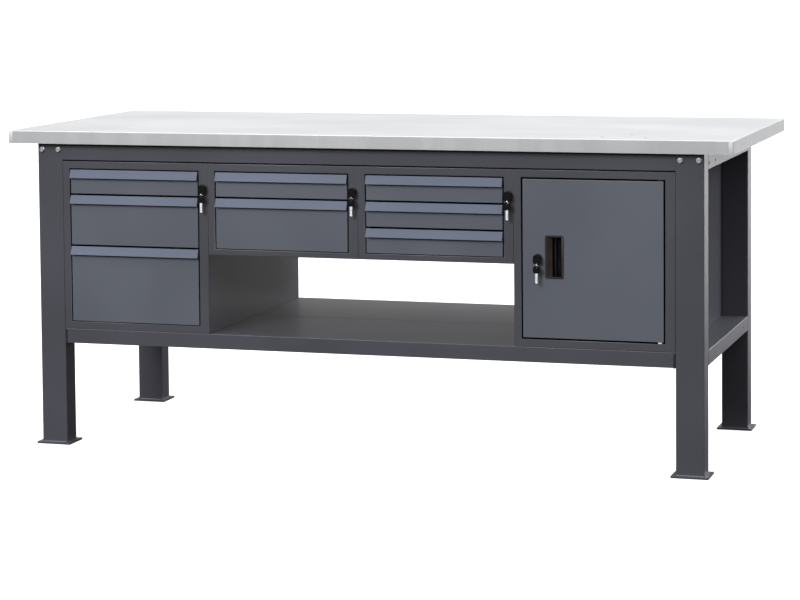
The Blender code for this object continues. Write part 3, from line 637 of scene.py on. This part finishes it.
class WORKBENCH_OT_legs(Build):
    """Model the box-section legs with their foot plates and welds"""

    bl_idname = "workbench.legs"
    bl_label = "Legs"

    def build(self):
        radius = sizes().tube_radius
        bead = sizes().weld_bead
        for node in LEGS:
            low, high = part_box(node)
            leg = frame_copy(node)
            front = "front" in node
            inner = 1.0 if "left" in node else -1.0
            only(leg)
            to_mode("EDIT")
            bpy.ops.mesh.select_all(action="SELECT")
            bpy.ops.mesh.bisect(plane_co=(0.0, 0.0, BEAM_BOTTOM), plane_no=(0.0, 0.0, 1.0))
            to_mode("OBJECT")
            middle = (low + high) / 2

            def tube_corner(one, two):
                outside = all(abs(one[axis] - middle[axis]) > TUBE_REACH[axis] for axis in (0, 1))
                joins_beam = (one.x - middle.x) * inner > 0 and max(one.z, two.z) > BEAM_BOTTOM + FIT \
                    and (one.y - middle.y) * (-1 if front else 1) > 0
                return runs_along(2)(one, two) and outside and not joins_beam \
                    and max(one.z, two.z) > FOOT_TOP + FIT

            round_edges(leg, tube_corner, radius, 4)
            round_edges(leg, lambda one, two: max(one.z, two.z) < FOOT_TOP + FIT
                        and runs_along(2)(one, two) and abs(one.z - two.z) > FIT, 0.0018, 3)
            ease_edges(leg, 0.0006, 2)
            hand_over(leg, "bench", "frame_paint", "frame_paint", node)
            self.weld(node, low, high, bead)

    def weld(self, node, low, high, bead):
        """A rippled bead where the tube meets its foot plate."""
        reach = FOOT_OVERHANG - bead * 0.15
        bpy.ops.object.select_all(action="DESELECT")
        spot = ((low.x + high.x) / 2, (low.y + high.y) / 2, FOOT_TOP + bead * 0.10)
        width = high.x - low.x - 2 * reach
        depth = high.y - low.y - 2 * reach
        bpy.ops.mesh.primitive_plane_add(size=1.0, location=spot)
        bpy.context.object.scale = (width, depth, 1.0)
        path = settle(node.replace("_leg", "_foot_weld"))
        to_mode("EDIT")
        bpy.ops.mesh.select_all(action="SELECT")
        bpy.ops.mesh.bevel(offset=0.003, segments=3, affect="VERTICES")
        bpy.ops.mesh.select_all(action="SELECT")
        bpy.ops.mesh.delete(type="ONLY_FACE")
        bpy.ops.mesh.select_all(action="SELECT")
        bpy.ops.mesh.subdivide(number_cuts=14)
        to_mode("OBJECT")
        bpy.ops.object.convert(target="CURVE")
        path.data.bevel_depth = bead / 2
        path.data.bevel_resolution = 2
        swell, step = WELD_RIPPLE
        for spline in path.data.splines:
            for number, point in enumerate(spline.points):
                point.radius = 1.0 + swell * math.sin(number * step)
        bpy.ops.object.convert(target="MESH")
        hand_over(bpy.context.object, "bench", "frame_paint", "frame_paint")


class WORKBENCH_OT_rails(Build):
    """Model the top beams and the side rails, with the rails' fixing holes"""

    bl_idname = "workbench.rails"
    bl_label = "Beams and side rails"

    def build(self):
        radius = sizes().fold_radius
        for node in nodes_ending("_beam", "_rail"):
            piece = frame_copy(node)
            along = 0 if node.endswith("_beam") else 1
            low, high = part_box(node)
            outer = self.outer_side(node, low, high)
            across = 1 - along
            round_edges(piece, lambda one, two: runs_along(along)(one, two)
                        and on_plane(across, outer)(one, two), radius, 3)
            if node.endswith("_rail"):
                self.drill(piece, node, low, high)
            ease_edges(piece, 0.0003, 1)
            hand_over(piece, "bench", "frame_paint", "frame_paint", node)

    def outer_side(self, node, low, high):
        """Where the channel's closed face is."""
        if node.endswith("_beam"):
            return low.y if node.startswith("front") else high.y
        return low.x if node.startswith("left") else high.x

    def drill(self, piece, node, low, high):
        """Fixing holes in a side rail's outer face."""
        from_front, drop, radius = RAIL_HOLES["upper" if "upper" in node else "lower"]
        outer = self.outer_side(node, low, high)
        for distance in from_front:
            y = low.y + distance
            hole = add_rod("rail_hole", (outer, y, high.z - drop), radius, 0.012, "X", 24)
            combine(piece, hole, "DIFFERENCE")


class WORKBENCH_OT_shelf(Build):
    """Model the two planks of the lower shelf and the buffers at their ends"""

    bl_idname = "workbench.shelf"
    bl_label = "Lower shelf"

    def build(self):
        radius = sizes().fold_radius
        for node in nodes_ending("_shelf_plank"):
            plank = frame_copy(node)
            low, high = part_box(node)
            round_edges(plank, lambda one, two: on_plane(2, high.z)(one, two)
                        and runs_along(0)(one, two), radius, 4)
            round_edges(plank, lambda one, two: on_plane(2, low.z)(one, two)
                        and runs_along(0)(one, two), 0.0006, 2)
            ease_edges(plank, 0.0003, 1)
            hand_over(plank, "bench", "frame_paint", "frame_paint", node)
        self.buffers()

    def buffers(self):
        """A black buffer with a round foot in the slot at each end of the shelf's lips."""
        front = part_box("front_shelf_plank")
        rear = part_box("rear_shelf_plank")
        ends = (("left", front[0].x), ("right", front[1].x - SHELF_SLOT))
        lips = (("front", front[0].y, 1.0), ("rear", rear[1].y, -1.0))
        for side, end in ends:
            for place, lip, inward in lips:
                depths = sorted((lip + inward * 2 * BUFFER_ROOM, lip + inward * BUFFER_DEPTH))
                near = end + BUFFER_ROOM
                low = (near, depths[0], front[0].z - BUFFER_FOOT)
                high = (near + SHELF_SLOT - 2 * BUFFER_ROOM, depths[1], front[1].z - 0.0035)
                block = add_block(place + "_" + side + "_shelf_buffer", low, high)
                round_edges(block, lambda one, two: max(one.z, two.z) < front[0].z
                            and runs_along(1)(one, two), 0.0024, 5)
                ease_edges(block, 0.0003, 2)
                hand_over(block, "bench", "black_plastic", "black_plastic")


class WORKBENCH_OT_carcasses(Build):
    """Model the folded sheet bodies of the three drawer units and the cupboard"""

    bl_idname = "workbench.carcasses"
    bl_label = "Unit bodies"

    def build(self):
        radius = sizes().fold_radius
        for node in nodes_ending("_carcass"):
            low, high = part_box(node)
            piece = frame_copy(node)
            round_edges(piece, lambda one, two: on_plane(1, low.y)(one, two)
                        and (one - two).length > SHORT_EDGE, radius, 3)
            round_edges(piece, lambda one, two: on_plane(1, high.y)(one, two)
                        and (one - two).length > SHORT_EDGE, 0.0010, 2)
            self.shade_frame(piece, low, high)
            hand_over(piece, "bench", "frame_paint", None, node)

    def shade_frame(self, piece, low, high):
        """Paint shade inside the gap round the front opening, and leave the outer walls in the main
        paint.
        """
        shade_returns(piece, "frame_paint", FRAME_GAP_SHADE)
        for face in piece.data.polygons:
            outer = min(face.center.x - low.x, high.x - face.center.x,
                        face.center.z - low.z, high.z - face.center.z) < OUTER_WALL
            if outer:
                face.material_index = 0


class WORKBENCH_OT_drawers(Build):
    """Model the drawers: rounded tray fronts and sheet boxes with runners"""

    bl_idname = "workbench.drawers"
    bl_label = "Drawers"

    def build(self):
        radius = sizes().front_radius
        for node in nodes_ending("_drawer"):
            low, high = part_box(node)
            piece = frame_copy(node)
            round_edges(piece, lambda one, two: on_plane(1, low.y)(one, two), radius, 4)
            ease_edges(piece, 0.0002, 1)
            shade_returns(piece, "front_paint", DRAWER_GAP_SHADE)
            hand_over(piece, node_body(node), "front_paint", None, node)


class WORKBENCH_OT_handles(Build):
    """Model the folded handle strips along the drawers' upper edges"""

    bl_idname = "workbench.handles"
    bl_label = "Handle strips"

    def build(self):
        for node in nodes_ending("_handle"):
            low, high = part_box(node)
            piece = frame_copy(node)
            round_edges(piece, lambda one, two: runs_along(0)(one, two)
                        and on_plane(1, low.y)(one, two), 0.0011, 4)
            round_edges(piece, lambda one, two: runs_along(0)(one, two)
                        and on_plane(2, high.z)(one, two), 0.0004, 3)
            ease_edges(piece, 0.0002, 1)
            hand_over(piece, node_body(node), "handle_paint", "handle_paint", node)


class WORKBENCH_OT_slides(Build):
    """Model the drawer slides and the lock bars"""

    bl_idname = "workbench.slides"
    bl_label = "Slides and lock bars"

    def build(self):
        for node in nodes_ending("_slides", "_lock_bar"):
            piece = frame_copy(node)
            ease_edges(piece, 0.0002, 1)
            hand_over(piece, node_body(node), "zinc", "zinc", node)


class WORKBENCH_OT_door(Build):
    """Model the cupboard's door and its loose shelf"""

    bl_idname = "workbench.door"
    bl_label = "Door and inner shelf"

    def build(self):
        low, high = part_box("cupboard_door")
        door = frame_copy("cupboard_door")
        round_edges(door, lambda one, two: on_plane(1, low.y)(one, two)
                    and (one - two).length > SHORT_EDGE, 0.0018, 4)
        ease_edges(door, 0.0002, 1)
        shade_returns(door, "front_paint", DOOR_GAP_SHADE)
        hand_over(door, "cupboard_door", "front_paint", None, "cupboard_door")
        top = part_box("cupboard_shelf")[1].z
        shelf = frame_copy("cupboard_shelf")
        round_edges(shelf, lambda one, two: on_plane(2, top)(one, two), sizes().fold_radius, 3)
        hand_over(shelf, "bench", "inner_paint", "inner_paint", "cupboard_shelf")


class WORKBENCH_OT_door_cup(Build):
    """Model the recessed pull in the door: rounded bezel, slope and pocket"""

    bl_idname = "workbench.door_cup"
    bl_label = "Door pull"

    def build(self):
        low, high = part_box("cupboard_door_cup")
        cup = frame_copy("cupboard_door_cup")
        bezel_back = low.y + CUP_BEZEL
        middle = (low + high) / 2
        scoop, near = CUP_SCOOP

        def bezel_corner(one, two):
            outside = abs(one.x - middle.x) > (high.x - low.x) / 2 - FIT \
                and abs(one.z - middle.z) > (high.z - low.z) / 2 - FIT
            return runs_along(1)(one, two) and outside

        def scoop_corner(one, two):
            inside = abs(one.x - middle.x) < (high.x - low.x) / 2 - 0.004
            return inside and min(one.y, two.y) < bezel_back + 0.020 and abs(one.y - two.y) > 0.002 \
                and abs(one.z - two.z) < FIT and abs(abs(one.z - middle.z) - scoop) < near

        pick_edges(cup, bezel_corner)
        bpy.ops.mesh.bevel(offset=CUP_CORNER, segments=7, affect="EDGES", clamp_overlap=False)
        to_mode("OBJECT")
        round_edges(cup, scoop_corner, 0.0024, 4)
        round_edges(cup, on_plane(1, low.y), 0.0006, 3)
        ease_edges(cup, 0.0003, 2)
        from_front, from_back = CUP_POCKET
        # painted shade: the pocket's deep faces get a darker copy of the black plastic
        give_finishes(cup, "black_plastic", "pocket_shade",
                      lambda face: low.y + from_front < face.center.y < high.y - from_back)
        hand_over(cup, "cupboard_door", "black_plastic", None, "cupboard_door_cup")
        left, right, front, back, end = CUP_RIB
        rib = add_block("door_cup_rib", (middle.x + left, high.y - front, low.z + end),
                        (middle.x + right, high.y - back, high.z - end))
        ease_edges(rib, 0.0004, 2)
        hand_over(rib, "cupboard_door", "black_plastic", "black_plastic")


class WORKBENCH_OT_hinges(Build):
    """Model the door's pivot pins with their plastic bushes"""

    bl_idname = "workbench.hinges"
    bl_label = "Door pivots"

    def build(self):
        for node in ("lower_hinge_pin", "upper_hinge_pin"):
            low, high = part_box(node)
            pin = frame_copy(node)
            ease_edges(pin, 0.0004, 3)
            axis = (low + high) / 2
            give_finishes(pin, "zinc", "nylon" if node.startswith("lower") else "black_plastic",
                          lambda face: (face.center - axis).xy.length > PIN_RADIUS)
            hand_over(pin, "bench", "zinc", None, node)


class WORKBENCH_OT_screws(Build):
    """Model the plated screws that hold the beams and rails to the legs"""

    bl_idname = "workbench.screws"
    bl_label = "Frame screws"

    def build(self):
        half = sizes().screw_head / 2
        spots = []
        out, below = LEG_SCREW
        for node in LEGS:
            low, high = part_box(node)
            middle = (low.x + high.x) / 2
            face = FACE if "front" in node else high.y - FOOT_OVERHANG
            way = -1.0 if "front" in node else 1.0
            for side in (-out, out):
                spot = (middle + side, face, SLAB_BOTTOM - below)
                spots.append((node.replace("_leg", "_screw"), spot, way))
        pattern = self.screw(half)
        count = {}
        for name, spot, way in spots:
            count[name] = count.get(name, 0) + 1
            copy = copy_piece(pattern, f"{name}_{count[name]}", (0.0, 0.0, 0.0))
            if way > 0:
                copy.data.transform(Matrix.Rotation(math.pi, 4, "Z"))
            copy.data.transform(Matrix.Rotation(0.5 * len(count) + 0.7 * count[name], 4, "Y"))
            copy.data.transform(Matrix.Translation(spot))
            hand_over(copy, "bench", "zinc", "zinc")
        bpy.data.objects.remove(pattern, do_unlink=True)

    def screw(self, half):
        """A chamfered hexagon head on a thin washer, facing -Y at the origin."""
        washer = add_rod("washer", (0.0, -0.0005, 0.0), half * 1.02, 0.0010, "Y", 48)
        ease_edges(washer, 0.0003, 2)
        head = add_rod("head", (0.0, -0.0029, 0.0), half * 0.92, 0.0042, "Y", 6)
        dome = add_rod("dome", (0.0, -0.0025, 0.0), half * 0.90, 0.0050, "Y", 48)
        round_edges(dome, on_plane(1, -0.0050), 0.0012, 4)
        combine(head, dome, "INTERSECT")
        dimple = add_rod("dimple", (0.0, -0.0050, 0.0), half * 0.50, 0.0010, "Y", 32)
        combine(head, dimple, "DIFFERENCE")
        ease_edges(head, 0.0002, 1)
        return join_pieces([washer, head], "screw_pattern")


class WORKBENCH_OT_locks(Build):
    """Model the locks: turned housings and the plugs that the keys turn"""

    bl_idname = "workbench.locks"
    bl_label = "Locks"

    def build(self):
        for lock in LOCKS:
            centre = Vector(JOINTS[lock + "_key_turn"]["pos_m"])
            self.housing(lock, centre)
            self.plug(lock, centre)

    def housing(self, lock, centre):
        """The barrel with a rounded, stepped bezel."""
        node = lock + "_lock_housing"
        piece = frame_copy(node)
        front = centre.y - ROOM - BEZEL_THICKNESS
        round_edges(piece, lambda one, two: on_plane(1, front)(one, two)
                    and (one - centre).xz.length > BEZEL_EDGE,
                    0.0011, 4)
        outer, inner, depth = BEZEL_GROOVE
        groove = add_rod("bezel_groove", (centre.x, front, centre.z), outer, depth, "Y", 48)
        core = add_rod("bezel_core", (centre.x, front, centre.z), inner, 2 * depth, "Y", 48)
        combine(groove, core, "DIFFERENCE")
        combine(piece, groove, "DIFFERENCE")
        ease_edges(piece, 0.0002, 2)
        hand_over(piece, node_body(node), "lock_metal", "lock_black", node)

    def plug(self, lock, centre):
        """The turning plug with its keyway, from the frame's block without the key's bow."""
        node = lock + "_lock_key"
        piece = frame_copy(node, lock + "_lock_plug")
        plug_front = centre.y - BEZEL_THICKNESS - ROOM
        away = add_block("away", (centre.x - 0.02, centre.y - 0.05, centre.z - 0.04),
                         (centre.x + 0.02, plug_front + 0.0001, centre.z + 0.04))
        combine(piece, away, "DIFFERENCE")
        half, deep, tall = KEYWAY
        keyway = add_block("keyway", (centre.x - half, plug_front - 0.001, centre.z - tall),
                           (centre.x + half, plug_front + deep, centre.z + tall))
        combine(piece, keyway, "DIFFERENCE")
        ease_edges(piece, 0.0003, 2)
        hand_over(piece, node_body(node), "lock_metal", "lock_metal", node)


class WORKBENCH_OT_keys(Build):
    """Model each lock's folded key, its ring and the spare key that hangs from it"""

    bl_idname = "workbench.keys"
    bl_label = "Keys"

    def build(self):
        bow = self.bow("key_bow_pattern", KEY_BOW, -1.0)
        spare = self.bow("spare_bow_pattern", SPARE_BOW, 1.0)
        blade = self.blade()
        ring = self.ring()
        for lock in LOCKS:
            centre = Vector(JOINTS[lock + "_key_turn"]["pos_m"])
            self.hang(lock, centre, bow, spare, blade, ring)
        for pattern in (bow, spare, blade, ring):
            bpy.data.objects.remove(pattern, do_unlink=True)

    def hang(self, lock, centre, bow, spare, blade, ring):
        """Put one lock's keys and ring in place."""
        key = lock + "_key"
        spare_body = lock + "_spare_key"
        face = centre.y - BEZEL_THICKNESS - ROOM
        bow_back = face - KEY_STAND_OFF
        top = centre.z + KEY_BOW[0] / 3
        middle = Vector((centre.x, bow_back - KEY_BOW[2] / 2, top - KEY_BOW[1] / 2))
        hand_over(copy_piece(bow, lock + "_key_bow", middle), key, "key_plastic", "key_plastic")
        shank = add_block(lock + "_key_shank",
                          (centre.x - BLADE[2] / 2, bow_back - 0.0002, centre.z - BLADE[0] / 2),
                          (centre.x + BLADE[2] / 2, face + 0.0015, centre.z + BLADE[0] / 2))
        round_edges(shank, runs_along(1), 0.0006, 2)
        hand_over(shank, key, "lock_metal", "blade_metal")
        back = bow_back - KEY_BOW[2] - KEY_ROOM
        spare_top = top - KEY_BOW[1] - KEY_DROP
        hung = Vector((centre.x, back - SPARE_BOW[2] / 2, spare_top - SPARE_BOW[1] / 2))
        hand_over(copy_piece(spare, lock + "_spare_key_bow", hung), spare_body, "key_plastic",
                  "key_plastic", spare_body)
        foot = hung - Vector((0.0, 0.0, SPARE_BOW[1] / 2))
        hand_over(copy_piece(blade, lock + "_spare_key_blade", foot), spare_body, "lock_metal",
                  "blade_metal")
        link = Vector((centre.x, (middle.y + hung.y) / 2, spare_top + KEY_DROP / 2))
        hand_over(copy_piece(ring, lock + "_key_ring", link), spare_body, "lock_metal", "lock_metal")

    def bow(self, name, size, way):
        """A key's moulded head, a rounded plate with a ring hole near one end."""
        width, height, thickness = size
        plate = add_block(name, (-width / 2, -thickness / 2, -height / 2),
                          (width / 2, thickness / 2, height / 2))
        round_edges(plate, runs_along(1), width * 0.30, 7)
        from_end, radius = RING_HOLE
        hole = add_rod("ring_hole", (0.0, 0.0, way * (height / 2 - from_end)), radius, 0.01, "Y", 24)
        combine(plate, hole, "DIFFERENCE")
        ease_edges(plate, 0.0006, 3)
        return plate

    def blade(self):
        """A flat key blade with a milled groove and bitting, hanging down from the origin."""
        width, reach, thickness = BLADE
        piece = add_block("blade_pattern", (-width / 2, -thickness / 2, -reach),
                          (width / 2, thickness / 2, 0.002))
        round_edges(piece, lambda one, two: on_plane(2, -reach)(one, two)
                    and runs_along(1)(one, two), 0.0024, 4)
        for number, depth in enumerate(BITTING):
            z = -BITTING_START - number * BITTING_STEP
            notch = add_block("notch", (width / 2 - depth, -0.003, z - 0.0009),
                              (width / 2 + 0.002, 0.003, z + 0.0009))
            round_edges(notch, lambda one, two: runs_along(1)(one, two)
                        and one.x < width / 2, 0.0006, 2)
            combine(piece, notch, "DIFFERENCE")
        for side in (-1.0, 1.0):
            y = side * thickness / 2
            groove = add_block("groove", (-0.0012, y - 0.0004, -reach + 0.002),
                               (0.0002, y + 0.0004, -0.0005))
            combine(piece, groove, "DIFFERENCE")
        ease_edges(piece, 0.00015, 1)
        return piece

    def ring(self):
        """A split ring standing in the YZ plane."""
        bpy.ops.object.select_all(action="DESELECT")
        bpy.ops.mesh.primitive_torus_add(major_segments=40, minor_segments=10,
                                         major_radius=sizes().key_ring, minor_radius=0.0006,
                                         rotation=(0.0, math.pi / 2, 0.0))
        coil = settle("ring_pattern")
        second = copy_piece(coil, "ring_turn", (0.0013, 0.0, 0.0))
        return join_pieces([coil, second], "ring_pattern")


class WORKBENCH_OT_carried_over(Build):
    """Give the frame's own pieces that still show their finishes"""

    bl_idname = "workbench.carried_over"
    bl_label = "Finishes of the frame's own pieces"

    def build(self):
        slots = {part["node"]: part["material_slot"] for part in frame["record"]["subparts"]}
        for node, piece in frame["nodes"].items():
            if piece.hide_render:
                continue
            piece.data.materials.clear()
            piece.data.materials.append(finish_named(slots[node]))


class WORKBENCH_OT_stage(Build):
    """Set the camera, the pale floor and the soft studio light"""

    bl_idname = "workbench.stage"
    bl_label = "Stage"

    def build(self):
        self.camera()
        self.floor()
        self.world()
        self.light("studio_key", (-2.6, -7.5, 4.8), (0.0, 0.0, 0.6), 4.0, 560.0)
        self.light("studio_side", (5.0, 1.0, 2.8), (0.5, 0.0, 0.6), 2.4, 150.0)
        bpy.context.scene.view_settings.view_transform = "Standard"

    def camera(self):
        """A long lens to the right of the bench's middle, a little above the worktop."""
        yaw, pitch, roll = 0.3023, 0.0619, -0.0086
        ahead = Vector((-math.sin(yaw) * math.cos(pitch), math.cos(yaw) * math.cos(pitch),
                        -math.sin(pitch)))
        right = Vector((math.cos(yaw), math.sin(yaw), 0.0))
        up = right.cross(ahead)
        right, up = (right * math.cos(roll) + up * math.sin(roll),
                     up * math.cos(roll) - right * math.sin(roll))
        bpy.ops.object.camera_add(location=(2.069, -6.657, 1.357))
        camera = bpy.context.object
        camera.matrix_world = Matrix.Translation(camera.location) @ Matrix(
            (right, up, -ahead)).transposed().to_4x4()
        camera.data.sensor_width = 36.0
        camera.data.lens = 112.88
        camera.data.shift_y = -0.2466
        camera.data.clip_end = 500.0
        bpy.context.scene.camera = camera

    def floor(self):
        """A wide pale floor that hardly darkens under the bench."""
        bpy.ops.mesh.primitive_plane_add(size=400.0, location=(0.0, 0.0, -0.0005))
        floor = settle("studio_floor")
        finish = Finish("studio_floor", Roughness=0.9)
        drift = finish.noise(0.6, 2.0)
        tone = tuple(colours().floor)
        finish.drive(Base_Color=finish.mix(drift * 0.3, tone, shade(tone, 0.98)))
        finish.shader.inputs["Emission Color"].default_value = (1.0, 1.0, 1.0, 1.0)
        finish.shader.inputs["Emission Strength"].default_value = 0.85
        floor.data.materials.append(finish.material)
        floor.visible_diffuse = False
        floor.visible_glossy = False

    def world(self):
        """Bright behind and overhead, dimmer low in front, at the left and below."""
        world = bpy.data.worlds.new("studio")
        bpy.context.scene.world = world
        studio = NodeTree(world)
        backdrop = studio.tree.nodes["Background"]
        backdrop.inputs["Color"].default_value = (1.0, 1.0, 1.0, 1.0)
        place = studio.node("ShaderNodeTexCoord", output="Generated")
        across, away, height = (studio.node("ShaderNodeSeparateXYZ", None, {0: place}, output=axis)
                                for axis in range(3))
        behind = studio.span(away, -0.30, 0.20)
        rightward = studio.span(across, -0.75, 0.10)
        front = studio.span(height, -0.05, 0.45) * 0.70 + rightward * 0.18
        rear = studio.span(height, 0.25, 0.75) * 2.00 + 0.28
        around = front + behind * (rear - front)
        above = studio.span(height, -0.12, 0.06) * 0.88 + 0.12
        # a narrow bright window behind on the right, which the right-hand sides mirror
        window = studio.span(across, 0.11, 0.18) * studio.span(across, 0.25, 0.20) \
            * studio.span(away, 0.60, 0.85) * studio.span(height, -0.20, -0.06)
        studio.tree.links.new((around * above + window * 5.2).socket, backdrop.inputs["Strength"])

    def light(self, name, place, target, size, power):
        """A soft square light that points at a target."""
        bpy.ops.object.light_add(type="AREA", location=place)
        light = bpy.context.object
        light.name = name
        light.data.size = size
        light.data.energy = power
        aim = Vector(target) - Vector(place)
        light.rotation_mode = "QUATERNION"
        light.rotation_quaternion = aim.to_track_quat("-Z", "Y")


OPERATORS = (
    WORKBENCH_OT_worktop, WORKBENCH_OT_legs, WORKBENCH_OT_rails, WORKBENCH_OT_shelf,
    WORKBENCH_OT_carcasses, WORKBENCH_OT_drawers, WORKBENCH_OT_handles, WORKBENCH_OT_slides,
    WORKBENCH_OT_door, WORKBENCH_OT_door_cup, WORKBENCH_OT_hinges, WORKBENCH_OT_screws,
    WORKBENCH_OT_locks, WORKBENCH_OT_keys, WORKBENCH_OT_carried_over, WORKBENCH_OT_stage,
)


class WORKBENCH_PT_panel(bpy.types.Panel):
    """Lists the pieces, and the sizes and colours to change"""

    bl_idname = "WORKBENCH_PT_panel"
    bl_label = "Workbench"
    bl_space_type = "VIEW_3D"
    bl_region_type = "UI"
    bl_category = "Workbench"

    def draw(self, context):
        layout = self.layout
        for group in (context.scene.workbench_sizes, context.scene.workbench_colours):
            box = layout.box()
            for name in group.__annotations__:
                box.prop(group, name)
        for operator in OPERATORS:
            layout.operator(operator.bl_idname)


CLASSES = (WorkbenchSizes, WorkbenchColours, *OPERATORS, WORKBENCH_PT_panel)


def register():
    for one in CLASSES:
        bpy.utils.register_class(one)
    bpy.types.Scene.workbench_sizes = PointerProperty(type=WorkbenchSizes)
    bpy.types.Scene.workbench_colours = PointerProperty(type=WorkbenchColours)


def unregister():
    del bpy.types.Scene.workbench_colours
    del bpy.types.Scene.workbench_sizes
    for one in reversed(CLASSES):
        bpy.utils.unregister_class(one)


def main():
    """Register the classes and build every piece."""
    register()
    for operator in OPERATORS:
        name = operator.bl_idname.split(".")[1]
        getattr(bpy.ops.workbench, name)()
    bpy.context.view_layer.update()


if __name__ == "__main__":
    main()
